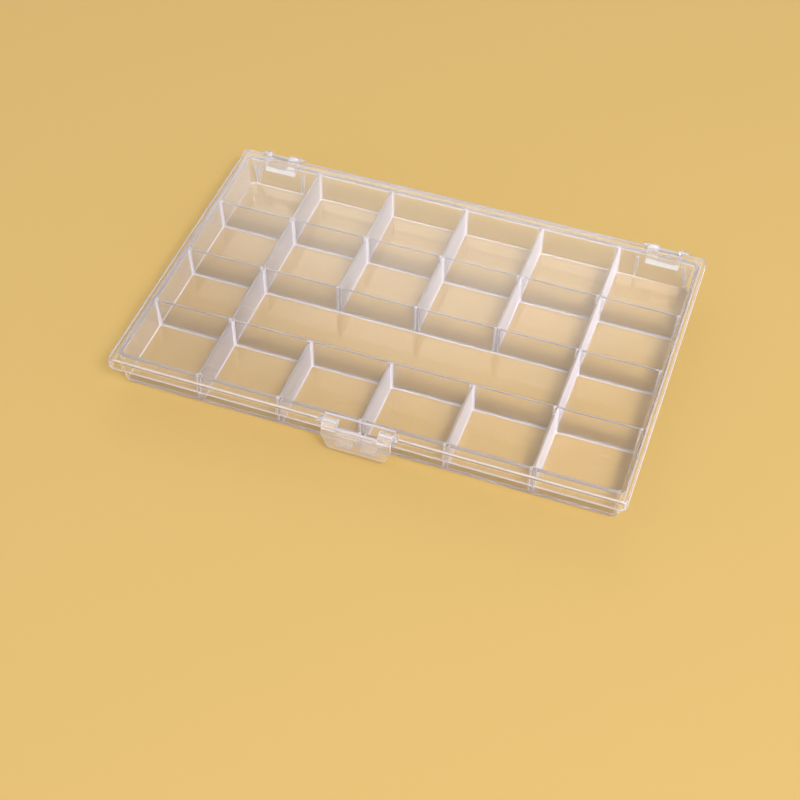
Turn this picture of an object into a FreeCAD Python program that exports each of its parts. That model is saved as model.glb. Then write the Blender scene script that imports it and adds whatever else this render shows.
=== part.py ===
import FreeCAD, Part
import math
import os

os.makedirs("parts", exist_ok=True)

Vector = FreeCAD.Vector
ALONG_X = Vector(1, 0, 0)
ALONG_Y = Vector(0, 1, 0)
ALONG_Z = Vector(0, 0, 1)

# A clear hinged bobbin box. X runs along the length, Y from the latch to the hinges, Z up.
# The origin is the middle of the tray's underside. All sizes are in millimetres.

# Lid: a shallow inverted moulding that overlaps the tray on all four sides
lid_length = 240.0
lid_depth = 158.0
lid_height = 5.2
lid_plate = 1.5
lid_wall = 2.0
lid_corner_radius = 3.0
lid_edge_round = 0.8

# Tray: a floor and four drafted walls, with dividers moulded between them
tray_height = 17.4
tray_wall = 1.8
tray_floor = 1.6
tray_draft = math.radians(3.0)
tray_corner_radius = 4.0
tray_foot_round = 1.5
column_count = 6
row_count = 4
back_row_count = 2
divider_root = 1.5
divider_top = 1.0

# Fits between lid, tray and latch
lid_rest_gap = 0.3
side_gap = 0.3
front_room = 3.4
swing_gap = 0.5
running_gap = 0.3
pin_grip = 0.01
pin_play = 0.06
pin_recess = 0.4

# Back hinges: lid lugs and tray knuckles on a steel pin, in a notch of the lid's back edge
hinge_from_side = 20.5
hinge_notch = 17.0
hinge_notch_front = 0.8
hinge_pin_diameter = 2.0
hinge_boss_wall = 1.3
hinge_top_step = 0.4
hinge_setback = 1.4
hinge_lug_length = 2.6
hinge_knuckle_inner = 5.0
hinge_knuckle_outer = 1.6
bracket_depth = 4.2
bracket_shelf = 3.2
bracket_reach = 2.8
bracket_lip = 0.9
rib_spread = 12.2
rib_thickness = 1.3
rib_reach = 2.2
rib_top_gap = 1.0
gusset_width = 5.2
gusset_leg = 1.2
pad_reach = 27.5
pad_thickness = 0.9

# Front latch: a flap with a barrel at each end, on two short steel pins in a notch of the lid
latch_pin_diameter = 1.6
latch_boss_wall = 1.1
latch_boss_length = 2.2
latch_setin = 2.0
latch_barrel_wall = 1.4
latch_barrel_length = 6.4
flap_width = 32.0
flap_thickness = 1.8
flap_top_rise = 0.2
flap_corner_width = 2.8
flap_corner_height = 7.0
flap_edge_round = 0.6
flap_lip = 2.0
hook_from_middle = 2.3
hook_width = 7.0
hook_thickness = 2.0
hook_rise = 0.6
hook_gap = 0.3
hook_nose_gap = 0.15
catch_underside = 8.6
catch_reach = 2.5
catch_lip = 0.8
catch_slope = 1.8
catch_width = 22.0

# Places worked out from those sizes
tray_length = lid_length - 2 * (lid_wall + side_gap)
lid_underside = tray_height + lid_rest_gap
lid_top = lid_underside + lid_plate
lid_bottom = lid_top - lid_height

hinge_radius = hinge_pin_diameter / 2 + hinge_boss_wall
hinge_drop = hinge_radius + hinge_top_step
skirt_swing = math.hypot(lid_wall + hinge_setback, lid_height - hinge_drop)
back_room = skirt_swing + swing_gap - lid_wall - hinge_setback
tray_depth = lid_depth - 2 * lid_wall - front_room - back_room
tray_front = -tray_depth / 2
tray_back = tray_depth / 2
lid_front = tray_front - front_room - lid_wall
lid_back = tray_back + back_room + lid_wall
lid_centre = (lid_front + lid_back) / 2

hinge_centre = lid_length / 2 - hinge_from_side
hinge_y = lid_back + hinge_setback
hinge_z = lid_top - hinge_drop
notch_inner = hinge_centre - hinge_notch / 2
notch_outer = hinge_centre + hinge_notch / 2

latch_radius = latch_pin_diameter / 2 + latch_boss_wall
barrel_radius = latch_pin_diameter / 2 + latch_barrel_wall
latch_y = lid_front + latch_setin
latch_z = lid_top - barrel_radius
latch_notch = flap_width / 2 + running_gap
notch_y = tray_front - running_gap
flap_inner = lid_front - running_gap
flap_outer = flap_inner - flap_thickness
flap_top = latch_z + flap_top_rise
hook_top = catch_underside - hook_gap
hook_bottom = hook_top - hook_thickness
flap_bottom = hook_bottom - flap_lip
catch_y = tray_front - catch_reach
hook_tip = catch_y - hook_nose_gap
barrel_inner = flap_width / 2 - latch_barrel_length
barrel_outer = flap_width / 2


def rounded_outline(length, depth, radius, centre_y, z):
    """Closed wire of a rectangle with round corners, level at height z."""
    half_x = length / 2
    half_y = depth / 2
    bend = radius * (1 - math.sqrt(0.5))
    edges = []
    corners = ((1, -1), (1, 1), (-1, 1), (-1, -1))
    stops = []
    for sx, sy in corners:
        along = Vector(sx * half_x, centre_y + sy * (half_y - radius), z)
        across = Vector(sx * (half_x - radius), centre_y + sy * half_y, z)
        middle = Vector(sx * (half_x - bend), centre_y + sy * (half_y - bend), z)
        start, end = (across, along) if sx * sy < 0 else (along, across)
        stops.append((start, middle, end))
    for index, (start, middle, end) in enumerate(stops):
        edges.append(Part.Arc(start, middle, end).toShape())
        edges.append(Part.LineSegment(end, stops[(index + 1) % 4][0]).toShape())
    return Part.Wire(edges)


def prism_along_x(outline, x0, x1):
    """Solid from a list of (y, z) corners, drawn out from x0 to x1."""
    points = [Vector(x0, y, z) for y, z in outline]
    face = Part.Face(Part.makePolygon(points + points[:1]))
    return face.extrude(ALONG_X * (x1 - x0))


def prism_along_y(outline, y0, y1):
    """Solid from a list of (x, z) corners, drawn out from y0 to y1."""
    points = [Vector(x, y0, z) for x, z in outline]
    face = Part.Face(Part.makePolygon(points + points[:1]))
    return face.extrude(ALONG_Y * (y1 - y0))


def block(x0, x1, y0, y1, z0, z1):
    return Part.makeBox(x1 - x0, y1 - y0, z1 - z0, Vector(x0, y0, z0))


def rod(radius, x0, x1, y, z):
    return Part.makeCylinder(radius, x1 - x0, Vector(x0, y, z), ALONG_X)


def mirrored(shape):
    return shape.mirror(Vector(0, 0, 0), ALONG_X)


def both_sides(shape):
    return [shape, mirrored(shape)]


def wall_inset(z):
    """How far the drafted wall stands in from the rim at height z."""
    return (tray_height - z) * math.tan(tray_draft)


def tray_outline(inset, radius, z):
    step = 2 * (inset + wall_inset(z))
    return rounded_outline(tray_length - step, tray_depth - step, radius, 0, z)


def make_cavity():
    """The space inside the tray's walls, taken past the rim so that it cuts cleanly."""
    radius = max(tray_corner_radius - tray_wall, tray_wall / 2)
    low = tray_outline(tray_wall, radius, tray_floor)
    high = tray_outline(tray_wall, radius, tray_height)
    return Part.makeLoft([low, high], True, True)


def make_tray_shell(cavity):
    low = tray_outline(0, tray_corner_radius, 0)
    high = tray_outline(0, tray_corner_radius, tray_height)
    outside = Part.makeLoft([low, high], True, True)
    foot_edges = [edge for edge in outside.Edges if edge.BoundBox.ZMax < tray_floor / 4]
    foot_round = min(tray_foot_round, 0.9 * tray_floor)
    return outside.makeFillet(foot_round, foot_edges).cut(cavity)


def make_hinge_bracket():
    """Shelf on the right of the tray's back wall, with the two knuckles that it carries."""
    x0 = notch_inner + running_gap
    x1 = notch_outer - running_gap
    root = tray_back - tray_wall / 2 - wall_inset(hinge_z - hinge_radius - bracket_depth)
    low = hinge_z - hinge_radius - bracket_depth
    shelf_top = low + bracket_shelf
    reach = tray_back + bracket_reach
    shelf = [(root, low), (reach, shelf_top - bracket_lip), (reach, shelf_top), (root, shelf_top)]
    arm = [(root, low), (hinge_y, hinge_z - hinge_radius), (hinge_y, hinge_z), (root, hinge_z)]
    bracket = prism_along_x(shelf, x0, x1)
    for k0, k1 in ((x0, x0 + hinge_knuckle_inner), (x1 - hinge_knuckle_outer, x1)):
        knuckle = rod(hinge_radius, k0, k1, hinge_y, hinge_z)
        bracket = bracket.fuse([prism_along_x(arm, k0, k1), knuckle])
    bore = rod(hinge_pin_diameter / 2 + pin_play, x0, x1, hinge_y, hinge_z)
    return bracket.cut(bore)


def make_hinge_ribs():
    """A rib inside and a V-shaped gusset outside the right hinge, on the tray's back wall."""
    low = tray_foot_round
    top = lid_bottom - rib_top_gap
    outline = [
        (tray_back - tray_wall / 2 - wall_inset(low), low),
        (tray_back - wall_inset(low) + rib_reach / 2, low),
        (tray_back + rib_reach, top - rib_reach),
        (tray_back + rib_reach / 2, top),
        (tray_back - tray_wall / 2 - wall_inset(top), top),
    ]
    rib_start = hinge_centre - rib_spread - rib_thickness / 2
    rib = prism_along_x(outline, rib_start, rib_start + rib_thickness)
    middle = hinge_centre + rib_spread
    half = gusset_width / 2
    share = (half - gusset_leg) / (half - gusset_leg / 2)
    v_outline = [
        (middle - half, top),
        (middle - half + gusset_leg, top),
        (middle, top - share * (top - low)),
        (middle + half - gusset_leg, top),
        (middle + half, top),
        (middle + gusset_leg / 2, low),
        (middle - gusset_leg / 2, low),
    ]
    upright = prism_along_y(v_outline, tray_back - lid_wall - tray_wall, tray_back + rib_reach)
    gusset = upright.common(prism_along_x(outline, middle - half, middle + half))
    return [rib, gusset]


def make_catch():
    """Lip on the tray's front wall, for the latch's hooks."""
    root = tray_front + tray_wall / 2 + wall_inset(catch_underside)
    outline = [
        (root, catch_underside),
        (catch_y, catch_underside),
        (catch_y, catch_underside + catch_lip),
        (root, catch_underside + catch_lip + catch_slope),
    ]
    return prism_along_x(outline, -catch_width / 2, catch_width / 2)


def make_tray(cavity):
    additions = [make_catch()]
    additions += both_sides(make_hinge_bracket())
    for rib in make_hinge_ribs():
        additions += both_sides(rib)
    return make_tray_shell(cavity).fuse(additions).removeSplitter()


def divider_outline(middle):
    """Section of a divider, thinner at its top as moulded walls are."""
    root = divider_root / 2
    top = divider_top / 2
    return [
        (middle - root, tray_floor),
        (middle + root, tray_floor),
        (middle + top, tray_height),
        (middle - top, tray_height),
    ]


def row_places():
    pitch = (tray_depth - 2 * tray_wall + divider_top) / row_count
    start = tray_back - tray_wall + divider_top / 2
    return [start - pitch * index for index in range(1, row_count)]


def column_places():
    pitch = (tray_length - 2 * tray_wall + divider_top) / column_count
    start = -tray_length / 2 + tray_wall - divider_top / 2
    return [start + pitch * index for index in range(1, column_count)]


def make_row_dividers(cavity):
    half = tray_length / 2
    return [prism_along_x(divider_outline(y), -half, half).common(cavity) for y in row_places()]


def make_column_dividers(cavity, rows):
    """Each column divider stops at the row dividers. The inner ones leave the long row open."""
    rows_y = row_places()
    long_back = rows_y[back_row_count - 1]
    long_front = rows_y[back_row_count]
    columns = []
    places = column_places()
    for x in places:
        whole = prism_along_y(divider_outline(x), tray_front, tray_back).common(cavity)
        pieces = whole.cut(Part.makeCompound(rows)).Solids
        if x not in (places[0], places[-1]):
            pieces = [p for p in pieces if not long_front < p.CenterOfMass.y < long_back]
        columns.append(Part.makeCompound(pieces))
    return columns


def make_lid_shell():
    outline = rounded_outline(lid_length, lid_depth, lid_corner_radius, lid_centre, lid_bottom)
    shell = Part.Face(outline).extrude(ALONG_Z * lid_height)
    top_edges = [edge for edge in shell.Edges if edge.BoundBox.ZMin > lid_top - lid_plate / 4]
    shell = shell.makeFillet(min(lid_edge_round, 0.9 * lid_plate), top_edges)
    inner_radius = max(lid_corner_radius - lid_wall, lid_wall / 4)
    inner_length = lid_length - 2 * lid_wall
    inner_depth = lid_depth - 2 * lid_wall
    inner = rounded_outline(inner_length, inner_depth, inner_radius, lid_centre, lid_bottom)
    return shell.cut(Part.Face(inner).extrude(ALONG_Z * (lid_underside - lid_bottom)))


def make_hinge_side(lid):
    """Pads, notches and pin lugs of the lid's back edge, alike on both sides."""
    pad_x0 = hinge_centre - pad_reach
    pad_x1 = lid_length / 2 - lid_corner_radius
    wall_y = lid_back - lid_wall / 2
    pad_top = lid_top - hinge_top_step - lid_edge_round
    pad = block(pad_x0, pad_x1, wall_y, lid_back + pad_thickness, lid_bottom, pad_top)
    lid = lid.fuse(both_sides(pad))
    notch_front = lid_back - lid_wall - hinge_notch_front
    notch_back = hinge_y + hinge_radius
    notch = block(notch_inner, notch_outer, notch_front, notch_back, lid_bottom, lid_top)
    lid = lid.cut(both_sides(notch))
    lugs = []
    for x0, x1 in (
        (notch_inner - hinge_lug_length, notch_inner),
        (notch_outer, notch_outer + hinge_lug_length),
    ):
        low = hinge_z - hinge_radius
        high = hinge_z + hinge_radius
        lugs += both_sides(block(x0, x1, wall_y, hinge_y, low, high))
        lugs += both_sides(rod(hinge_radius, x0, x1, hinge_y, hinge_z))
    lid = lid.fuse(lugs)
    bore_radius = hinge_pin_diameter / 2 + pin_grip
    bore_x0 = notch_inner - hinge_lug_length
    bore_x1 = notch_outer + hinge_lug_length
    return lid.cut(both_sides(rod(bore_radius, bore_x0, bore_x1, hinge_y, hinge_z)))


def make_latch_side(lid):
    """Notch of the lid's front edge, with a boss for a pin behind the edge at each end."""
    notch = block(-latch_notch, latch_notch, lid_front, notch_y, lid_bottom, lid_top)
    lid = lid.cut(notch)
    boss_end = latch_notch + latch_boss_length
    lid = lid.fuse(both_sides(rod(latch_radius, latch_notch, boss_end, latch_y, latch_z)))
    bore_radius = latch_pin_diameter / 2 + pin_grip
    return lid.cut(both_sides(rod(bore_radius, latch_notch, boss_end, latch_y, latch_z)))


def make_lid():
    return make_latch_side(make_hinge_side(make_lid_shell())).removeSplitter()


def make_hinge_pin():
    x0 = notch_inner - hinge_lug_length + pin_recess
    x1 = notch_outer + hinge_lug_length - pin_recess
    return rod(hinge_pin_diameter / 2, x0, x1, hinge_y, hinge_z)


def make_latch_pin():
    x0 = barrel_inner + pin_recess
    x1 = latch_notch + latch_boss_length - pin_recess
    return rod(latch_pin_diameter / 2, x0, x1, latch_y, latch_z)


def make_flap():
    """Finger plate of the latch, with its lower corners cut off and its outer edges rounded."""
    half = flap_width / 2
    corner_z = flap_bottom + flap_corner_height
    outline = [
        (-half, flap_top),
        (-half, corner_z),
        (-half + flap_corner_width, flap_bottom),
        (half - flap_corner_width, flap_bottom),
        (half, corner_z),
        (half, flap_top),
    ]
    plate = prism_along_y(outline, flap_outer, flap_inner)
    outer_edges = [e for e in plate.Edges if e.BoundBox.YMax < flap_outer + flap_thickness / 4]
    return plate.makeFillet(min(flap_edge_round, 0.9 * flap_thickness), outer_edges)


def make_latch():
    web_root = flap_inner - flap_thickness / 2
    web = [
        (latch_y, latch_z + barrel_radius),
        (web_root, flap_top - flap_edge_round / 2),
        (web_root, latch_z - barrel_radius),
        (latch_y, latch_z - barrel_radius),
    ]
    hook = [
        (flap_inner - flap_thickness / 2, hook_bottom),
        (hook_tip - hook_rise, hook_bottom),
        (hook_tip, hook_bottom + hook_rise),
        (hook_tip, hook_top),
        (flap_inner - flap_thickness / 2, hook_top + hook_rise),
    ]
    pieces = []
    hook_end = hook_from_middle + hook_width
    pieces += both_sides(prism_along_x(web, barrel_inner, barrel_outer))
    pieces += both_sides(rod(barrel_radius, barrel_inner, barrel_outer, latch_y, latch_z))
    pieces += both_sides(prism_along_x(hook, hook_from_middle, hook_end))
    bore_radius = latch_pin_diameter / 2 + pin_play
    bores = both_sides(rod(bore_radius, barrel_inner, barrel_outer, latch_y, latch_z))
    return make_flap().fuse(pieces).cut(bores).removeSplitter()


def export(name, shape):
    """Write one node as a STEP file and print how many solids it holds."""
    print(name, len(shape.Solids), "solids, valid", shape.isValid(), round(shape.Volume, 1), "mm3")
    shape.exportStep("parts/" + name + ".step")


cavity = make_cavity()
rows = make_row_dividers(cavity)
columns = make_column_dividers(cavity, rows)

export("base_tray", make_tray(cavity))
for place, row in zip(("back", "middle", "front"), rows):
    export("divider_row_" + place, row)
for number, column in enumerate(columns, start=1):
    export("divider_column_" + str(number), column)
export("lid", make_lid())
hinge_pin = make_hinge_pin()
export("hinge_pin_right", hinge_pin)
export("hinge_pin_left", mirrored(hinge_pin))
export("latch", make_latch())
export("latch_pin", Part.makeCompound(both_sides(make_latch_pin())))
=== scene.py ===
import bmesh
import bpy
import math
from mathutils import Matrix, Vector


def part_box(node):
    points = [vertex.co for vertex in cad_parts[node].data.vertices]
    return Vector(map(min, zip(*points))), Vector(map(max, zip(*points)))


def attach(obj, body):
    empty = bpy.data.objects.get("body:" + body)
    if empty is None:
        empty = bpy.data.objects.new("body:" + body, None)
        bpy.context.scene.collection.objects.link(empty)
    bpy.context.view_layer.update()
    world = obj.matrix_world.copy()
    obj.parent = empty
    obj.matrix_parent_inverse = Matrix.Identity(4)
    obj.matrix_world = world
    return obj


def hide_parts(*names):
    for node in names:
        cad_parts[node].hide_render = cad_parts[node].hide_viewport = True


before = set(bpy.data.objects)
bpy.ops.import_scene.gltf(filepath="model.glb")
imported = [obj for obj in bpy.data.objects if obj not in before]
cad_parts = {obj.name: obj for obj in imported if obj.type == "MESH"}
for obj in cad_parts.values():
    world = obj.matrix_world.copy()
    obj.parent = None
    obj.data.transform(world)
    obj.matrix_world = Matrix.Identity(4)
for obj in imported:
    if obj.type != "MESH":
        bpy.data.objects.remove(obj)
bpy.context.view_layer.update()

# Tray
# The lower half of the box, one injection moulding in clear polystyrene: a flat floor, drafted walls
# and the dividers between twenty-one compartments, one of them four columns long.
mm = 0.001
tiny = 0.01 * mm
weld_gap = tiny / 4
sharp_turn = math.radians(50)

rows = [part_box("divider_row_" + place) for place in ("front", "middle", "back")]
columns = [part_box("divider_column_" + str(number)) for number in range(1, 6)]
row_lines = [(low.y + high.y) / 2 for low, high in rows]
column_lines = [(low.x + high.x) / 2 for low, high in columns]
floor_z = rows[0][0].z
rim_z = rows[0][1].z
well_x = rows[0][1].x
well_y = columns[0][1].y
wall = 1.8 * mm
draft = math.tan(math.radians(3.0))
tray_x = well_x + wall
tray_y = well_y + wall
tray_corner = 4.0 * mm
foot_round = 1.4 * mm
divider_top = 1.0 * mm
divider_flare = (rows[0][1].y - rows[0][0].y - divider_top) / 2
pocket_corner = 1.0 * mm
pocket_round = 0.5 * mm
largest_strip = 100 * mm * mm
rim_round = 0.2 * mm


def pick(piece, kind, wanted):
    """In edit mode, select just the points, edges or faces that pass a test."""
    bpy.ops.mesh.select_mode(type=kind)
    bpy.ops.mesh.select_all(action="DESELECT")
    shape = bmesh.from_edit_mesh(piece.data)
    parts = {"VERT": shape.verts, "EDGE": shape.edges, "FACE": shape.faces}[kind]
    for part in parts:
        part.select_set(bool(wanted(part)))
    shape.select_flush_mode()
    bmesh.update_edit_mesh(piece.data)


def level(part, z):
    """True if every corner of an edge or face lies at height z."""
    return all(abs(corner.co.z - z) < tiny for corner in part.verts)


def turns(edge):
    """True if the two faces at an edge meet at a sharp angle."""
    return len(edge.link_faces) == 2 and edge.calc_face_angle() > sharp_turn


def start_piece(name):
    """Name the primitive that was just added and open it in edit mode, all selected."""
    piece = bpy.context.object
    piece.name = name
    piece.data.name = name
    bpy.ops.object.transform_apply(location=True, rotation=True, scale=True)
    bpy.ops.object.mode_set(mode="EDIT")
    bpy.ops.mesh.select_all(action="SELECT")
    return piece


def inside_rim(face):
    """True for a face of the plate that the compartments are cut from."""
    edge_x = well_x + divider_top
    edge_y = well_y + divider_top
    return all(abs(corner.co.x) < edge_x and abs(corner.co.y) < edge_y for corner in face.verts)


def beside_long_row(face):
    """True for a face inside the rim that isn't in the row of the long compartment."""
    return inside_rim(face) and not row_lines[0] < face.calc_center_median().y < row_lines[1]


def step_floor(axis, start, end, step):
    """Move the floor points that lie from start to end along an axis, to give a wall its draft."""
    pick(
        tray,
        "VERT",
        lambda point: abs(point.co.z - floor_z) < tiny and start - tiny < point.co[axis] < end + tiny,
    )
    move = Vector((0, 0, 0))
    move[axis] = step
    bpy.ops.transform.translate(value=move)


def dull_corners():
    """Mark the strips of the last bevel with a painted highlight: pale glints on tight corners and
    feet.
    """
    shape = bmesh.from_edit_mesh(tray.data)
    painted_glint = shape.faces.layers.float.get("painted_glint") or shape.faces.layers.float.new("painted_glint")
    for face in shape.faces:
        if face.select and face.calc_area() < largest_strip:
            face[painted_glint] = 1.0
    bmesh.update_edit_mesh(tray.data)


bpy.ops.object.select_all(action="DESELECT")
bpy.ops.mesh.primitive_plane_add(size=1.0, location=(0, 0, rim_z))
tray = start_piece("tray")
bpy.ops.transform.resize(value=(2 * tray_x, 2 * tray_y, 1))
bpy.ops.mesh.bevel(offset=tray_corner, segments=6, affect="VERTICES")
pick(tray, "FACE", lambda face: True)
bpy.ops.mesh.inset(thickness=wall - divider_top / 2)
for y in row_lines:
    pick(tray, "FACE", inside_rim)
    bpy.ops.mesh.bisect(plane_co=(0, y, 0), plane_no=(0, 1, 0), threshold=tiny)
for x in column_lines:
    at_end = x in (column_lines[0], column_lines[-1])
    pick(tray, "FACE", inside_rim if at_end else beside_long_row)
    bpy.ops.mesh.bisect(plane_co=(x, 0, 0), plane_no=(1, 0, 0), threshold=tiny)
pick(tray, "FACE", inside_rim)
bpy.ops.mesh.inset(thickness=divider_top / 2, use_individual=True)
bpy.ops.mesh.extrude_region_move(TRANSFORM_OT_translate={"value": (0, 0, floor_z - rim_z)})

wall_step = (rim_z - floor_z) * draft
for axis, well, lines in ((0, well_x, column_lines), (1, well_y, row_lines)):
    step_floor(axis, -well, tray_corner - wall - well, wall_step)
    step_floor(axis, well - tray_corner + wall, well, -wall_step)
    for line in lines:
        step_floor(axis, line - divider_top / 2, line - divider_top / 2, -divider_flare)
        step_floor(axis, line + divider_top / 2, line + divider_top / 2, divider_flare)

pick(tray, "EDGE", lambda edge: turns(edge) and abs(edge.verts[0].co.z - edge.verts[1].co.z) > wall)
bpy.ops.mesh.bevel(offset=pocket_corner, segments=4)
# Painted highlight on the upright corner fillets.
dull_corners()
pick(tray, "EDGE", lambda edge: turns(edge) and level(edge, floor_z))
bpy.ops.mesh.bevel(offset=pocket_round, segments=3)
# Painted highlight on the fillets at the feet of the walls and dividers.
dull_corners()

pick(tray, "EDGE", lambda edge: edge.is_boundary)
bpy.ops.mesh.extrude_region_move(TRANSFORM_OT_translate={"value": (0, 0, -rim_z)})
foot_step = rim_z * draft
foot_scale = (1 - foot_step / tray_x, 1 - foot_step / tray_y, 1)
bpy.ops.transform.resize(value=foot_scale, center_override=(0, 0, 0))
bpy.ops.mesh.edge_face_add()
pick(tray, "EDGE", lambda edge: turns(edge) and level(edge, 0))
bpy.ops.mesh.bevel(offset=foot_round, segments=4)
pick(tray, "EDGE", lambda edge: turns(edge) and level(edge, rim_z))
bpy.ops.mesh.bevel(offset=rim_round, segments=2)
bpy.ops.mesh.select_all(action="SELECT")
bpy.ops.mesh.normals_make_consistent(inside=False)
bpy.ops.object.mode_set(mode="OBJECT")

# Hinge brackets, ribs and gussets
# Moulded in one with the tray, on the outside of its back wall: a shelf with two knuckles for each
# hinge pin, an upright rib on its inner side and a V-shaped gusset on its outer side.
pin_low, pin_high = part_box("hinge_pin_right")
hinge_y = (pin_low.y + pin_high.y) / 2
hinge_z = (pin_low.z + pin_high.z) / 2
hinge_x = (pin_low.x + pin_high.x) / 2
pin_radius = (pin_high.z - pin_low.z) / 2
boss_wall = 1.29 * mm
boss_radius = pin_radius + boss_wall
pin_recess = 0.4 * mm
pin_play = 0.06 * mm
lug_length = 2.6 * mm
notch_inner = pin_low.x - pin_recess + lug_length
notch_outer = pin_high.x + pin_recess - lug_length
running_gap = 0.3 * mm
knuckle_inner = 5.0 * mm
knuckle_outer = 1.6 * mm
bracket_drop = 4.2 * mm
bracket_low = hinge_z - boss_radius - bracket_drop
shelf_height = 3.2 * mm
shelf_top = bracket_low + shelf_height
shelf_depth = 2.8 * mm
shelf_reach = tray_y + shelf_depth
shelf_lip = 0.9 * mm
moulded_round = 0.25 * mm
eased_turn = math.radians(20)
step_back = 0.06 * mm
lid_low, lid_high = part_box("lid")
rib_spread = 12.2 * mm
rib_thickness = 1.3 * mm
rib_reach = 2.2 * mm
rib_clear = 1.0 * mm
rib_top = lid_low.z - rib_clear
gusset_half = 2.6 * mm
gusset_leg = 1.2 * mm
# Shares of painted highlight: a pale veil that makes the brackets, ribs and gussets look white.
bracket_glint = 0.35
rib_glint = 0.9
arc_step = 10
rod_sides = 36


def arc(y, z, radius, start, end):
    """Points of an arc in a (y, z) outline, from one angle in degrees to another."""
    count = 1 + round(abs(end - start) / arc_step)
    angles = [math.radians(start + (end - start) * step / (count - 1)) for step in range(count)]
    return [(y + radius * math.cos(angle), z + radius * math.sin(angle)) for angle in angles]


def draw_out(name, outline, move):
    """A piece of one flat outline of points, drawn out by a move and open in edit mode."""
    bpy.ops.object.select_all(action="DESELECT")
    bpy.ops.mesh.primitive_circle_add(vertices=len(outline), radius=wall, fill_type="NGON")
    piece = start_piece(name)
    shape = bmesh.from_edit_mesh(piece.data)
    for point, corner in zip(shape.verts, outline):
        point.co = corner
    bmesh.update_edit_mesh(piece.data)
    bpy.ops.mesh.extrude_region_move(TRANSFORM_OT_translate={"value": move})
    bpy.ops.mesh.select_all(action="SELECT")
    bpy.ops.mesh.normals_make_consistent(inside=False)
    return piece


def prism(name, outline, x0, x1):
    """A piece of one (y, z) outline, drawn out along X and eased along its edges."""
    piece = draw_out(name, [(x0, y, z) for y, z in outline], (x1 - x0, 0, 0))
    pick(piece, "EDGE", lambda edge: edge.calc_face_angle() > eased_turn)
    bpy.ops.mesh.bevel(offset=moulded_round, segments=2)
    bpy.ops.object.mode_set(mode="OBJECT")
    return piece


def upright(name, outline, y0, y1):
    """A piece of one (x, z) outline, drawn out along Y and open in edit mode."""
    return draw_out(name, [(x, y0, z) for x, z in outline], (0, y1 - y0, 0))


def rod(name, radius, x0, x1, y, z, rounding=moulded_round):
    """A round bar along X with eased ends."""
    bpy.ops.object.select_all(action="DESELECT")
    bpy.ops.mesh.primitive_cylinder_add(
        vertices=rod_sides,
        radius=radius,
        depth=x1 - x0,
        location=((x0 + x1) / 2, y, z),
        rotation=(0, math.pi / 2, 0),
    )
    piece = start_piece(name)
    if rounding:
        pick(piece, "EDGE", turns)
        bpy.ops.mesh.bevel(offset=rounding, segments=2)
    bpy.ops.object.mode_set(mode="OBJECT")
    return piece


def combine(piece, tool, operation):
    """Add a tool to a piece, or cut it out, and put the tool away."""
    step = piece.modifiers.new("combine", "BOOLEAN")
    step.operation = operation
    step.solver = "EXACT"
    step.object = tool
    bpy.context.view_layer.objects.active = piece
    bpy.ops.object.modifier_apply(modifier=step.name)
    bpy.data.objects.remove(tool)
    bpy.ops.object.mode_set(mode="EDIT")
    bpy.ops.mesh.select_all(action="SELECT")
    bpy.ops.mesh.remove_doubles(threshold=weld_gap)
    bpy.ops.mesh.dissolve_degenerate(threshold=weld_gap)
    bpy.ops.object.mode_set(mode="OBJECT")


def opposite(piece):
    """A copy of a piece with its own mesh, on the other side of the box."""
    bpy.ops.object.select_all(action="DESELECT")
    piece.select_set(True)
    bpy.context.view_layer.objects.active = piece
    bpy.ops.object.duplicate()
    copy = bpy.context.object
    bpy.ops.object.mode_set(mode="EDIT")
    bpy.ops.mesh.select_all(action="SELECT")
    bpy.ops.transform.resize(value=(-1, 1, 1), center_override=(0, 0, 0))
    bpy.ops.mesh.normals_make_consistent(inside=False)
    bpy.ops.object.mode_set(mode="OBJECT")
    return copy


def dull_all(piece, amount):
    """Give a whole feature a share of the painted highlight of the tight corners, a pale veil over
    it.
    """
    marks = piece.data.attributes.new("painted_glint", "FLOAT", "FACE")
    for face in marks.data:
        face.value = amount


bracket_x0 = notch_inner + running_gap
bracket_x1 = notch_outer - running_gap
root_y = tray_y - wall / 2 - (rim_z - bracket_low) * draft
shelf_outline = [
    (root_y, bracket_low),
    (shelf_reach, shelf_top - shelf_lip),
    (shelf_reach, shelf_top),
    (root_y, shelf_top),
]
knuckle_outline = [(root_y, hinge_z), (root_y, bracket_low + pocket_round)]
knuckle_outline += arc(hinge_y, hinge_z, boss_radius, -90, 180)
bracket = prism("bracket", shelf_outline, bracket_x0, bracket_x1)
for x0, x1 in (
    (bracket_x0 + step_back, bracket_x0 + knuckle_inner),
    (bracket_x1 - knuckle_outer, bracket_x1 - step_back),
):
    combine(bracket, prism("knuckle", knuckle_outline, x0, x1), "UNION")
bore = rod("bore", pin_radius + pin_play, pin_low.x, pin_high.x, hinge_y, hinge_z, rounding=0)
combine(bracket, bore, "DIFFERENCE")
# Painted highlight on the bracket.
dull_all(bracket, bracket_glint)
combine(tray, opposite(bracket), "UNION")
combine(tray, bracket, "UNION")

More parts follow.
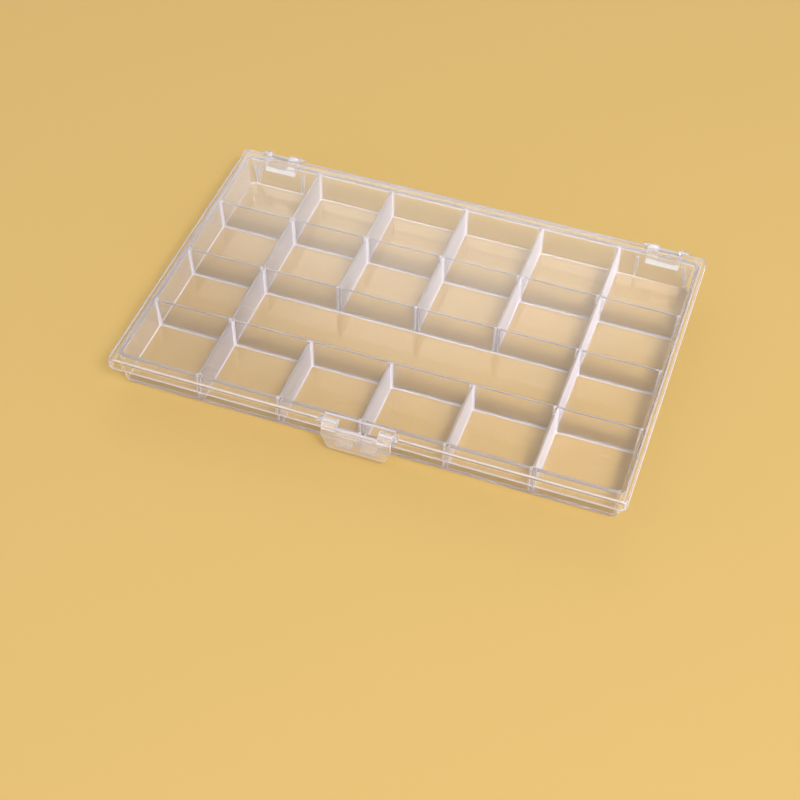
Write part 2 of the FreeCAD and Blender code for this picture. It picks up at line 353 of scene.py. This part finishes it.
rib_foot = tray_y - (rim_z - foot_round) * draft
rib_outline = [
    (rib_foot - wall / 2, foot_round),
    (rib_foot + rib_reach / 2, foot_round),
    (tray_y + rib_reach, rib_top - rib_reach),
    (tray_y + rib_reach / 2, rib_top),
    (tray_y - wall / 2 - (rim_z - rib_top) * draft, rib_top),
]
rib_x = hinge_x - rib_spread - rib_thickness / 2
rib = prism("rib", rib_outline, rib_x, rib_x + rib_thickness)
gusset_x = hinge_x + rib_spread
gusset = prism("gusset", rib_outline, gusset_x - gusset_half, gusset_x + gusset_half)
v_depth = (gusset_half - gusset_leg) / (gusset_half - gusset_leg / 2) * (rib_top - foot_round)
v_outline = [
    (gusset_x - gusset_half + step_back, rib_top + tiny),
    (gusset_x - gusset_half + gusset_leg, rib_top + tiny),
    (gusset_x, rib_top - v_depth),
    (gusset_x + gusset_half - gusset_leg, rib_top + tiny),
    (gusset_x + gusset_half - step_back, rib_top + tiny),
    (gusset_x + gusset_leg / 2, foot_round - tiny),
    (gusset_x - gusset_leg / 2, foot_round - tiny),
]
legs = upright("legs", v_outline, rib_foot - wall, tray_y + 2 * rib_reach)
bpy.ops.object.mode_set(mode="OBJECT")
combine(gusset, legs, "INTERSECT")
# Painted highlight on the ribs and gussets.
for feature in (rib, gusset):
    dull_all(feature, rib_glint)
    combine(tray, opposite(feature), "UNION")
    combine(tray, feature, "UNION")

# Catch
# A sloped lip in the middle of the tray's front wall, one moulding with it. The two hooks of the
# latch snap under it.
catch_z = 8.6 * mm
catch_lip = 0.8 * mm
catch_slope = 1.8 * mm
catch_reach = 2.5 * mm
catch_y = -tray_y - catch_reach
catch_half = 11.0 * mm
catch_root = -tray_y + wall / 2 + (rim_z - catch_z) * draft
catch_outline = [
    (catch_root, catch_z),
    (catch_y, catch_z),
    (catch_y, catch_z + catch_lip),
    (catch_root, catch_z + catch_lip + catch_slope),
]
combine(tray, prism("catch", catch_outline, -catch_half, catch_half), "UNION")


def finish_moulding(piece):
    """Smooth shading that leaves the flat walls flat, as polished mould faces are."""
    flat_weight = 100
    bpy.ops.object.select_all(action="DESELECT")
    piece.select_set(True)
    bpy.context.view_layer.objects.active = piece
    bpy.ops.object.shade_smooth_by_angle(angle=sharp_turn)
    step = piece.modifiers.new("flat walls", "WEIGHTED_NORMAL")
    step.keep_sharp = True
    step.weight = flat_weight
    bpy.ops.object.modifier_apply(modifier=step.name)


finish_moulding(tray)


def add_node(tree, kind, **settings):
    """Add a node with its properties set."""
    node = tree.nodes.new(kind)
    for name, value in settings.items():
        setattr(node, name, value)
    return node


def make_handling_marks():
    """Shared effect: thumb smears, fine scratches and the flow of the moulding in a handled box."""
    usual_values = (("Polish", 0.02), ("Smears", 0.05), ("Scratches", 0.2))
    smear_scale = 38.0
    smear_detail = 4.0
    smear_twist = 0.8
    smear_start, smear_full = 0.48, 0.75
    scratch_lays = ((0.5, 55.0), (2.1, 70.0), (2.7, 45.0))
    scratch_tilt_x, scratch_tilt_y = 0.3, 0.2
    scratch_fineness = 1400.0
    scratch_start, scratch_full = 0.69, 0.74
    scratch_depth = -0.02
    flow_scale = 26.0
    tree = bpy.data.node_groups.new("handling marks", "ShaderNodeTree")
    for name, usual in usual_values:
        socket = tree.interface.new_socket(name=name, in_out="INPUT", socket_type="NodeSocketFloat")
        socket.default_value = usual
    for name in ("Roughness", "Height"):
        tree.interface.new_socket(name=name, in_out="OUTPUT", socket_type="NodeSocketFloat")
    link = tree.links.new
    given = tree.nodes.new("NodeGroupInput")
    out = tree.nodes.new("NodeGroupOutput")
    place = tree.nodes.new("ShaderNodeTexCoord")

    smear = add_node(tree, "ShaderNodeTexNoise")
    smear.inputs["Scale"].default_value = smear_scale
    smear.inputs["Detail"].default_value = smear_detail
    smear.inputs["Distortion"].default_value = smear_twist
    link(place.outputs["Object"], smear.inputs["Vector"])
    patches = add_node(tree, "ShaderNodeMapRange")
    patches.inputs["From Min"].default_value = smear_start
    patches.inputs["From Max"].default_value = smear_full
    link(smear.outputs["Fac"], patches.inputs["Value"])
    smeared = add_node(tree, "ShaderNodeMath", operation="MULTIPLY")
    link(patches.outputs["Result"], smeared.inputs[0])
    link(given.outputs["Smears"], smeared.inputs[1])

    marks = None
    for turn, stretch in scratch_lays:
        lay = add_node(tree, "ShaderNodeMapping")
        lay.inputs["Rotation"].default_value = (scratch_tilt_x * turn, scratch_tilt_y * turn, turn)
        lay.inputs["Scale"].default_value = (stretch, scratch_fineness, stretch)
        link(place.outputs["Object"], lay.inputs["Vector"])
        streak = add_node(tree, "ShaderNodeTexNoise")
        streak.inputs["Scale"].default_value = 1.0
        streak.inputs["Detail"].default_value = 1.0
        link(lay.outputs["Vector"], streak.inputs["Vector"])
        fine = add_node(tree, "ShaderNodeMapRange")
        fine.inputs["From Min"].default_value = scratch_start
        fine.inputs["From Max"].default_value = scratch_full
        link(streak.outputs["Fac"], fine.inputs["Value"])
        if marks is None:
            marks = fine.outputs["Result"]
        else:
            both = add_node(tree, "ShaderNodeMath", operation="MAXIMUM")
            link(marks, both.inputs[0])
            link(fine.outputs["Result"], both.inputs[1])
            marks = both.outputs["Value"]
    scratched = add_node(tree, "ShaderNodeMath", operation="MULTIPLY")
    link(marks, scratched.inputs[0])
    link(given.outputs["Scratches"], scratched.inputs[1])

    worn = add_node(tree, "ShaderNodeMath", operation="ADD")
    link(smeared.outputs["Value"], worn.inputs[0])
    link(scratched.outputs["Value"], worn.inputs[1])
    rough = add_node(tree, "ShaderNodeMath", operation="ADD")
    link(worn.outputs["Value"], rough.inputs[0])
    link(given.outputs["Polish"], rough.inputs[1])
    link(rough.outputs["Value"], out.inputs["Roughness"])

    flow = add_node(tree, "ShaderNodeTexNoise")
    flow.inputs["Scale"].default_value = flow_scale
    flow.inputs["Detail"].default_value = 1.0
    link(place.outputs["Object"], flow.inputs["Vector"])
    height = add_node(tree, "ShaderNodeMath", operation="MULTIPLY_ADD")
    height.inputs[1].default_value = scratch_depth
    link(scratched.outputs["Value"], height.inputs[0])
    link(flow.outputs["Fac"], height.inputs[2])
    link(height.outputs["Value"], out.inputs["Height"])
    return tree


handling_marks = make_handling_marks()


def clear_plastic(name, colour, polish, smears, scratches, haze_and_sheen, glow, cloud):
    """Clear polystyrene with a pale veil that grows towards grazing angles, strong on upright faces
    and weak on flat ones: partly a real hazy film, partly painted sheen.
    """
    polystyrene_ior = 1.59
    flow_strength = 0.05
    flow_depth = 0.15 * mm
    steep_power = 4.0
    upright_limit, flat_limit = 0.5, 0.95
    flat_share = 0.15
    glow_start, glow_full = 0.22, 0.55
    corner_glint = 0.55
    veil_colour = (0.96, 0.93, 0.99, 1)
    shadow_start, shadow_full = 0.07, 0.30
    shadow_colour = (0.30, 0.29, 0.30, 1)
    material = bpy.data.materials.new(name)
    material.use_nodes = True
    tree = material.node_tree
    link = tree.links.new
    plastic = tree.nodes["Principled BSDF"]
    plastic.inputs["Base Color"].default_value = (*colour, 1)
    plastic.inputs["Transmission Weight"].default_value = 1.0
    plastic.inputs["IOR"].default_value = polystyrene_ior
    marks = add_node(tree, "ShaderNodeGroup", node_tree=handling_marks)
    marks.inputs["Polish"].default_value = polish
    marks.inputs["Smears"].default_value = smears
    marks.inputs["Scratches"].default_value = scratches
    link(marks.outputs["Roughness"], plastic.inputs["Roughness"])
    bump = add_node(tree, "ShaderNodeBump")
    bump.inputs["Strength"].default_value = flow_strength
    bump.inputs["Distance"].default_value = flow_depth
    link(marks.outputs["Height"], bump.inputs["Height"])
    link(bump.outputs["Normal"], plastic.inputs["Normal"])
    slant = add_node(tree, "ShaderNodeLayerWeight")
    steep = add_node(tree, "ShaderNodeMath", operation="POWER")
    steep.inputs[1].default_value = steep_power
    link(slant.outputs["Facing"], steep.inputs[0])
    place = add_node(tree, "ShaderNodeTexCoord")
    lie = add_node(tree, "ShaderNodeSeparateXYZ")
    link(place.outputs["Normal"], lie.inputs["Vector"])
    flat = add_node(tree, "ShaderNodeMath", operation="ABSOLUTE")
    link(lie.outputs["Z"], flat.inputs[0])
    # Share of the veil: full on upright faces, less on flat ones.
    drawn = add_node(tree, "ShaderNodeMapRange")
    drawn.inputs["From Min"].default_value = upright_limit
    drawn.inputs["From Max"].default_value = flat_limit
    drawn.inputs["To Min"].default_value = haze_and_sheen
    drawn.inputs["To Max"].default_value = flat_share * haze_and_sheen
    link(flat.outputs["Value"], drawn.inputs["Value"])
    # Partly a real hazy film, partly painted sheen: the pale veil grows towards grazing angles.
    grazing_veil = add_node(tree, "ShaderNodeMath", operation="MULTIPLY")
    link(steep.outputs["Value"], grazing_veil.inputs[0])
    link(drawn.outputs["Result"], grazing_veil.inputs[1])
    # Painted glow: light that meets a wall's inner face at a steep angle turns into the pale veil,
    # standing in for light carried along the walls and out at their edges.
    caught = add_node(tree, "ShaderNodeMapRange")
    caught.inputs["From Min"].default_value = glow_start
    caught.inputs["From Max"].default_value = glow_full
    caught.inputs["To Max"].default_value = glow
    link(slant.outputs["Facing"], caught.inputs["Value"])
    side = add_node(tree, "ShaderNodeNewGeometry")
    spread = add_node(tree, "ShaderNodeMix", data_type="FLOAT")
    link(side.outputs["Backfacing"], spread.inputs["Factor"])
    link(grazing_veil.outputs["Value"], spread.inputs["A"])
    link(caught.outputs["Result"], spread.inputs["B"])
    # Painted highlight: faces marked for it get more of the pale veil; the cloud share is the latch's
    # own cloudiness.
    corners = add_node(tree, "ShaderNodeAttribute", attribute_name="painted_glint")
    glint_and_cloud = add_node(tree, "ShaderNodeMath", operation="MULTIPLY_ADD")
    glint_and_cloud.inputs[1].default_value = corner_glint
    glint_and_cloud.inputs[2].default_value = cloud
    link(corners.outputs["Fac"], glint_and_cloud.inputs[0])
    veil = add_node(tree, "ShaderNodeMath", operation="ADD")
    link(spread.outputs["Result"], veil.inputs[0])
    link(glint_and_cloud.outputs["Value"], veil.inputs[1])
    scatter = add_node(tree, "ShaderNodeBsdfDiffuse")
    scatter.inputs["Color"].default_value = veil_colour
    veiled = add_node(tree, "ShaderNodeMixShader")
    link(veil.outputs["Value"], veiled.inputs["Fac"])
    link(plastic.outputs["BSDF"], veiled.inputs[1])
    link(scatter.outputs["BSDF"], veiled.inputs[2])
    path = add_node(tree, "ShaderNodeLightPath")
    gloss = add_node(tree, "ShaderNodeFresnel")
    gloss.inputs["IOR"].default_value = polystyrene_ior
    grazed = add_node(tree, "ShaderNodeMapRange")
    grazed.inputs["From Min"].default_value = shadow_start
    grazed.inputs["From Max"].default_value = shadow_full
    link(gloss.outputs["Fac"], grazed.inputs["Value"])
    dimmed = add_node(tree, "ShaderNodeMix", data_type="RGBA")
    dimmed.inputs["A"].default_value = (1, 1, 1, 1)
    dimmed.inputs["B"].default_value = shadow_colour
    link(grazed.outputs["Result"], dimmed.inputs["Factor"])
    passed = add_node(tree, "ShaderNodeBsdfTransparent")
    link(dimmed.outputs["Result"], passed.inputs["Color"])
    mix = add_node(tree, "ShaderNodeMixShader")
    link(path.outputs["Is Shadow Ray"], mix.inputs["Fac"])
    link(veiled.outputs["Shader"], mix.inputs[1])
    link(passed.outputs["BSDF"], mix.inputs[2])
    link(mix.outputs["Shader"], tree.nodes["Material Output"].inputs["Surface"])
    return material


# Each plastic has a pale veil that is partly a real hazy film and partly painted sheen, a painted
# glow along its edges and a painted highlight in its tight corners.
tray_plastic = clear_plastic(
    "tray clear plastic",
    colour=(0.99, 0.985, 0.99),
    polish=0.015,
    smears=0.04,
    scratches=0.10,
    haze_and_sheen=1.6,
    glow=0.5,
    cloud=0.0,
)
tray.data.materials.clear()
tray.data.materials.append(tray_plastic)
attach(tray, "tray")
tray_nodes = [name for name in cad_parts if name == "base_tray" or name.startswith("divider_")]
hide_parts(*tray_nodes)

# Lid
# A shallow clear moulding, upside down over the tray: a flat plate with a skirt all round, notched at
# the back for the hinges and at the front for the latch.
lid_x = lid_high.x
lid_top = lid_high.z
lid_bottom = lid_low.z
lid_plate = 1.5 * mm
lid_wall = 2.0 * mm
lid_corner = 3.0 * mm
lid_edge_round = 0.8 * mm
hinge_overhang = 1.4 * mm
lid_back = hinge_y - hinge_overhang
latch_pin_low, latch_pin_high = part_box("latch_pin")
latch_y = (latch_pin_low.y + latch_pin_high.y) / 2
latch_z = (latch_pin_low.z + latch_pin_high.z) / 2
latch_setback = 2.0 * mm
lid_front = latch_y - latch_setback
lid_underside = lid_top - lid_plate


def block(name, low, high):
    """A cube stretched from one corner to the other, open in edit mode."""
    bpy.ops.object.select_all(action="DESELECT")
    middle = (Vector(low) + Vector(high)) / 2
    bpy.ops.mesh.primitive_cube_add(size=1.0, location=middle, scale=Vector(high) - Vector(low))
    return start_piece(name)


lid = block("lid_cover", (-lid_x, lid_front, lid_bottom), (lid_x, lid_back, lid_top))
pick(lid, "EDGE", lambda edge: abs(edge.verts[0].co.z - edge.verts[1].co.z) > lid_wall)
bpy.ops.mesh.bevel(offset=lid_corner, segments=6)
pick(lid, "EDGE", lambda edge: turns(edge) and level(edge, lid_top))
bpy.ops.mesh.bevel(offset=lid_edge_round, segments=4)
pick(lid, "FACE", lambda face: level(face, lid_bottom))
bpy.ops.mesh.inset(thickness=lid_wall)
bpy.ops.mesh.extrude_region_move(TRANSFORM_OT_translate={"value": (0, 0, lid_underside - lid_bottom)})
pick(lid, "EDGE", lambda edge: turns(edge) and level(edge, lid_underside))
bpy.ops.mesh.bevel(offset=pocket_round, segments=3)
pick(lid, "EDGE", lambda edge: turns(edge) and level(edge, lid_bottom))
bpy.ops.mesh.bevel(offset=moulded_round, segments=2)
bpy.ops.object.mode_set(mode="OBJECT")

# Hinge edge of the lid
# Thicker pads on the outside of the back skirt, two notches that clear the tray's knuckles, and
# the lugs that hold the ends of each hinge pin.
pad_run = 27.5 * mm
pad_inner = hinge_x - pad_run
pad_outer = lid_x - lid_corner
pad_thickness = 0.9 * mm
pad_back = lid_back + pad_thickness
pad_drop = 0.4 * mm
pad_top = lid_top - pad_drop - lid_edge_round
skirt_middle = lid_back - lid_wall / 2
notch_clear = 0.8 * mm
notch_front = lid_back - lid_wall - notch_clear
pin_grip = 0.01 * mm

pad = block("pad", (pad_inner, skirt_middle, lid_bottom + step_back), (pad_outer, pad_back, pad_top))
bpy.ops.mesh.bevel(offset=moulded_round, segments=2)
bpy.ops.object.mode_set(mode="OBJECT")
combine(lid, opposite(pad), "UNION")
combine(lid, pad, "UNION")
notch_low = (notch_inner, notch_front, lid_bottom - wall)
notch = block("notch", notch_low, (notch_outer, hinge_y + wall, lid_top + wall))
bpy.ops.object.mode_set(mode="OBJECT")
combine(lid, opposite(notch), "DIFFERENCE")
combine(lid, notch, "DIFFERENCE")
lug_outline = [(skirt_middle, hinge_z + boss_radius), (skirt_middle, hinge_z - boss_radius)]
lug_outline += arc(hinge_y, hinge_z, boss_radius, -90, 90)
for x0, x1 in (
    (notch_inner - lug_length, notch_inner - step_back),
    (notch_outer + step_back, notch_outer + lug_length),
):
    lug = prism("lug", lug_outline, x0, x1)
    combine(lid, opposite(lug), "UNION")
    combine(lid, lug, "UNION")
bore_start = notch_inner - lug_length - step_back
bore_end = notch_outer + lug_length + step_back
bore = rod("bore", pin_radius + pin_grip, bore_start, bore_end, hinge_y, hinge_z, rounding=0)
combine(lid, opposite(bore), "DIFFERENCE")
combine(lid, bore, "DIFFERENCE")

# Latch edge of the lid
# A notch in the middle of the front edge as wide as the latch, with a boss behind the skirt at each
# end of it that holds a latch pin.
latch_low, latch_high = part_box("latch")
flap_half = latch_high.x
latch_notch = flap_half + running_gap
latch_notch_y = -tray_y - running_gap
latch_pin_radius = (latch_pin_high.z - latch_pin_low.z) / 2
latch_boss_wall = 1.1 * mm
latch_boss_radius = latch_pin_radius + latch_boss_wall
latch_boss_end = latch_pin_high.x + pin_recess

notch_low = (-latch_notch, lid_front - wall, lid_bottom - wall)
notch = block("notch", notch_low, (latch_notch, latch_notch_y, lid_top + wall))
bpy.ops.object.mode_set(mode="OBJECT")
combine(lid, notch, "DIFFERENCE")
boss = rod("boss", latch_boss_radius, latch_notch + step_back, latch_boss_end, latch_y, latch_z)
combine(lid, opposite(boss), "UNION")
combine(lid, boss, "UNION")
bore_radius = latch_pin_radius + pin_grip
bore = rod("bore", bore_radius, flap_half, latch_boss_end + step_back, latch_y, latch_z, rounding=0)
combine(lid, opposite(bore), "DIFFERENCE")
combine(lid, bore, "DIFFERENCE")

finish_moulding(lid)
lid_plastic = clear_plastic(
    "lid clear plastic",
    colour=(0.99, 0.985, 0.99),
    polish=0.012,
    smears=0.012,
    scratches=0.16,
    haze_and_sheen=1.4,
    glow=0.75,
    cloud=0.0,
)
lid.data.materials.clear()
lid.data.materials.append(lid_plastic)
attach(lid, "lid")
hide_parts("lid")

# Hinge pins
# Two cut lengths of drawn steel wire with eased ends. They are pressed into the lid's lugs, and the
# tray's knuckles turn on them.
pin_end_round = 0.2 * mm


def drawn_steel(name):
    """Bright drawn wire with fine lines along it."""
    line_scale = (90.0, 5200.0, 5200.0)
    line_detail = 3.0
    dark_line = (0.70, 0.70, 0.71, 1)
    bright_line = (0.90, 0.90, 0.90, 1)
    line_polish, line_rough = 0.22, 0.42
    line_strength = 0.3
    line_depth = 0.01 * mm
    material = bpy.data.materials.new(name)
    material.use_nodes = True
    tree = material.node_tree
    link = tree.links.new
    steel = tree.nodes["Principled BSDF"]
    steel.inputs["Metallic"].default_value = 1.0
    place = add_node(tree, "ShaderNodeTexCoord")
    lay = add_node(tree, "ShaderNodeMapping")
    lay.inputs["Scale"].default_value = line_scale
    link(place.outputs["Object"], lay.inputs["Vector"])
    lines = add_node(tree, "ShaderNodeTexNoise")
    lines.inputs["Scale"].default_value = 1.0
    lines.inputs["Detail"].default_value = line_detail
    link(lay.outputs["Vector"], lines.inputs["Vector"])
    shade = add_node(tree, "ShaderNodeMix", data_type="RGBA")
    shade.inputs["A"].default_value = dark_line
    shade.inputs["B"].default_value = bright_line
    link(lines.outputs["Fac"], shade.inputs["Factor"])
    link(shade.outputs["Result"], steel.inputs["Base Color"])
    rough = add_node(tree, "ShaderNodeMapRange")
    rough.inputs["To Min"].default_value = line_polish
    rough.inputs["To Max"].default_value = line_rough
    link(lines.outputs["Fac"], rough.inputs["Value"])
    link(rough.outputs["Result"], steel.inputs["Roughness"])
    bump = add_node(tree, "ShaderNodeBump")
    bump.inputs["Strength"].default_value = line_strength
    bump.inputs["Distance"].default_value = line_depth
    link(lines.outputs["Fac"], bump.inputs["Height"])
    link(bump.outputs["Normal"], steel.inputs["Normal"])
    return material


pin_steel = drawn_steel("drawn steel wire")


def make_pin(name, radius, x0, x1, y, z, node):
    """A length of wire along X in place of a pin's node, carried by the lid."""
    pin = rod(name, radius, x0, x1, y, z, rounding=pin_end_round)
    finish_moulding(pin)
    pin.data.materials.clear()
    pin.data.materials.append(pin_steel)
    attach(pin, "lid")
    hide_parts(node)


make_pin("hinge_wire_right", pin_radius, pin_low.x, pin_high.x, hinge_y, hinge_z, "hinge_pin_right")
make_pin("hinge_wire_left", pin_radius, -pin_high.x, -pin_low.x, hinge_y, hinge_z, "hinge_pin_left")

# Latch
# A clear finger flap in front of the lid's edge, with a barrel on a pin at each end and two hooks
# behind it that snap under the tray's catch. Its faces are a little cloudy.
flap_outer = latch_low.y
flap_thickness = 1.8 * mm
flap_inner = flap_outer + flap_thickness
flap_bottom = latch_low.z
flap_rise = 0.2 * mm
flap_top = latch_z + flap_rise
flap_corner_width = 2.8 * mm
flap_corner_height = 7.0 * mm
flap_round = 0.6 * mm
barrel_wall = 1.4 * mm
barrel_radius = latch_pin_radius + barrel_wall
barrel_length = 6.4 * mm
barrel_inner = flap_half - barrel_length
barrel_outer = flap_half - step_back
hook_start = 2.3 * mm
hook_width = 7.0 * mm
hook_end = hook_start + hook_width
hook_rise = 0.6 * mm
hook_clear = 0.3 * mm
hook_top = catch_z - hook_clear
hook_height = 2.0 * mm
hook_bottom = hook_top - hook_height
hook_gap = 0.15 * mm
hook_tip = catch_y - hook_gap

flap_outline = [
    (-flap_half, flap_top),
    (-flap_half, flap_bottom + flap_corner_height),
    (flap_corner_width - flap_half, flap_bottom),
    (flap_half - flap_corner_width, flap_bottom),
    (flap_half, flap_bottom + flap_corner_height),
    (flap_half, flap_top),
]


def at_flap_front(edge):
    """True for a sharp edge round the outer face of the flap."""
    return turns(edge) and all(point.co.y < flap_outer + tiny for point in edge.verts)


latch = upright("latch_flap", flap_outline, flap_inner, flap_outer)
pick(latch, "EDGE", at_flap_front)
bpy.ops.mesh.bevel(offset=flap_round, segments=3)
pick(latch, "EDGE", turns)
bpy.ops.mesh.bevel(offset=moulded_round, segments=2)
bpy.ops.object.mode_set(mode="OBJECT")
flap_middle = flap_inner - flap_thickness / 2
barrel_outline = [(flap_middle, flap_top - flap_round / 2), (flap_middle, latch_z - barrel_radius)]
barrel_outline += arc(latch_y, latch_z, barrel_radius, -90, 90)
hook_outline = [
    (flap_middle, hook_bottom),
    (hook_tip - hook_rise, hook_bottom),
    (hook_tip, hook_bottom + hook_rise),
    (hook_tip, hook_top),
    (flap_middle, hook_top + hook_rise),
]
barrel = prism("barrel", barrel_outline, barrel_inner, barrel_outer)
hook = prism("hook", hook_outline, hook_start, hook_end)
for feature in (barrel, hook):
    combine(latch, opposite(feature), "UNION")
    combine(latch, feature, "UNION")
bore_radius = latch_pin_radius + pin_play
bore = rod("bore", bore_radius, barrel_inner - wall, latch_notch, latch_y, latch_z, rounding=0)
combine(latch, opposite(bore), "DIFFERENCE")
combine(latch, bore, "DIFFERENCE")
finish_moulding(latch)
latch_plastic = clear_plastic(
    "latch clear plastic",
    colour=(0.985, 0.98, 0.985),
    polish=0.02,
    smears=0.05,
    scratches=0.12,
    haze_and_sheen=1.6,
    glow=0.6,
    cloud=0.14,
)
latch.data.materials.clear()
latch.data.materials.append(latch_plastic)
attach(latch, "latch")
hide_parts("latch")

# Latch pins
# Two short lengths of the same drawn steel wire, pushed through the latch's barrels and held in the
# lid's bosses.
wire_start = barrel_inner + pin_recess
wire_end = latch_pin_high.x
make_pin("latch_wire_right", latch_pin_radius, wire_start, wire_end, latch_y, latch_z, "latch_pin")
make_pin("latch_wire_left", latch_pin_radius, -wire_end, -wire_start, latch_y, latch_z, "latch_pin")

# Floor
# A plain, matt, pale sand board. It lies a hair below the box, so that the underside of the tray
# still shows as clear plastic.
floor_gap = 0.05 * mm
floor_half = 1.5
floor_colour = (0.67, 0.46, 0.155, 1)
floor_roughness = 0.9
bpy.ops.object.select_all(action="DESELECT")
bpy.ops.mesh.primitive_plane_add(size=2 * floor_half, location=(0, 0, -floor_gap))
floor = start_piece("floor")
bpy.ops.object.mode_set(mode="OBJECT")
paper = bpy.data.materials.new("pale sand board")
paper.use_nodes = True
board = paper.node_tree.nodes["Principled BSDF"]
board.inputs["Base Color"].default_value = floor_colour
board.inputs["Roughness"].default_value = floor_roughness
floor.data.materials.append(paper)

# Light
# A white studio all round, dimmer overhead, with a soft window high behind the box, and a key lamp
# from the front right.
studio_colour = (1.0, 0.97, 0.94, 1)
light_low, light_high = 0.9, 0.5
window_direction = Vector((-0.22, 0.81, 0.545)).normalized()
window_edge, window_full = 0.96, 0.985
window_light = 1.0
key_place = (1.1, -1.1, 1.9)
key_size = (0.8, 0.8)
key_power = 38.0
key_colour = (1.0, 0.98, 0.96)

world = bpy.data.worlds.new("studio")
bpy.context.scene.world = world
world.use_nodes = True
sky_tree = world.node_tree
sky_link = sky_tree.links.new
sky = sky_tree.nodes["Background"]
sky.inputs["Color"].default_value = studio_colour
ways = add_node(sky_tree, "ShaderNodeTexCoord")
split = add_node(sky_tree, "ShaderNodeSeparateXYZ")
sky_link(ways.outputs["Generated"], split.inputs["Vector"])
walls = add_node(sky_tree, "ShaderNodeMapRange")
walls.inputs["To Min"].default_value = light_low
walls.inputs["To Max"].default_value = light_high
sky_link(split.outputs["Z"], walls.inputs["Value"])
facing = add_node(sky_tree, "ShaderNodeVectorMath", operation="DOT_PRODUCT")
facing.inputs[1].default_value = window_direction
sky_link(ways.outputs["Generated"], facing.inputs[0])
window = add_node(sky_tree, "ShaderNodeMapRange", interpolation_type="SMOOTHSTEP")
window.inputs["From Min"].default_value = window_edge
window.inputs["From Max"].default_value = window_full
window.inputs["To Max"].default_value = window_light
sky_link(facing.outputs["Value"], window.inputs["Value"])
glow = add_node(sky_tree, "ShaderNodeMath", operation="ADD")
sky_link(walls.outputs["Result"], glow.inputs[0])
sky_link(window.outputs["Result"], glow.inputs[1])
sky_link(glow.outputs["Value"], sky.inputs["Strength"])


def soft_lamp(name, place, size, power, colour):
    """A square soft lamp that points at the box."""
    data = bpy.data.lights.new(name, "AREA")
    data.shape = "RECTANGLE"
    data.size, data.size_y = size
    data.energy = power
    data.color = colour
    lamp = bpy.data.objects.new(name, data)
    bpy.context.scene.collection.objects.link(lamp)
    lamp.location = place
    lamp.rotation_euler = (-Vector(place)).to_track_quat("-Z", "Y").to_euler()


soft_lamp("key", key_place, key_size, key_power, key_colour)

# Camera
# The place, aim and lens from which the box is seen, and the render settings that clear plastic
# needs: plain colours and enough bounces for light to pass many walls.
camera_place = Vector((157.52, -482.67, 526.39)) * mm
camera_turn = math.radians(18.90)
camera_tilt = math.radians(41.54)
camera_roll = math.radians(0.917)
camera_sensor = 36.0
camera_lens = 69.56
camera_data = bpy.data.cameras.new("camera")
camera_data.sensor_width = camera_sensor
camera_data.lens = camera_lens
camera = bpy.data.objects.new("camera", camera_data)
bpy.context.scene.collection.objects.link(camera)
aim = Matrix.Rotation(camera_turn, 4, "Z") @ Matrix.Rotation(camera_tilt, 4, "X")
camera.matrix_world = Matrix.Translation(camera_place) @ aim @ Matrix.Rotation(camera_roll, 4, "Z")
bpy.context.scene.camera = camera

bpy.context.scene.view_settings.view_transform = "Standard"
bpy.context.scene.cycles.max_bounces = 28
bpy.context.scene.cycles.transmission_bounces = 24
bpy.context.scene.cycles.transparent_max_bounces = 32
bpy.context.scene.cycles.glossy_bounces = 12
bpy.context.scene.cycles.diffuse_bounces = 8
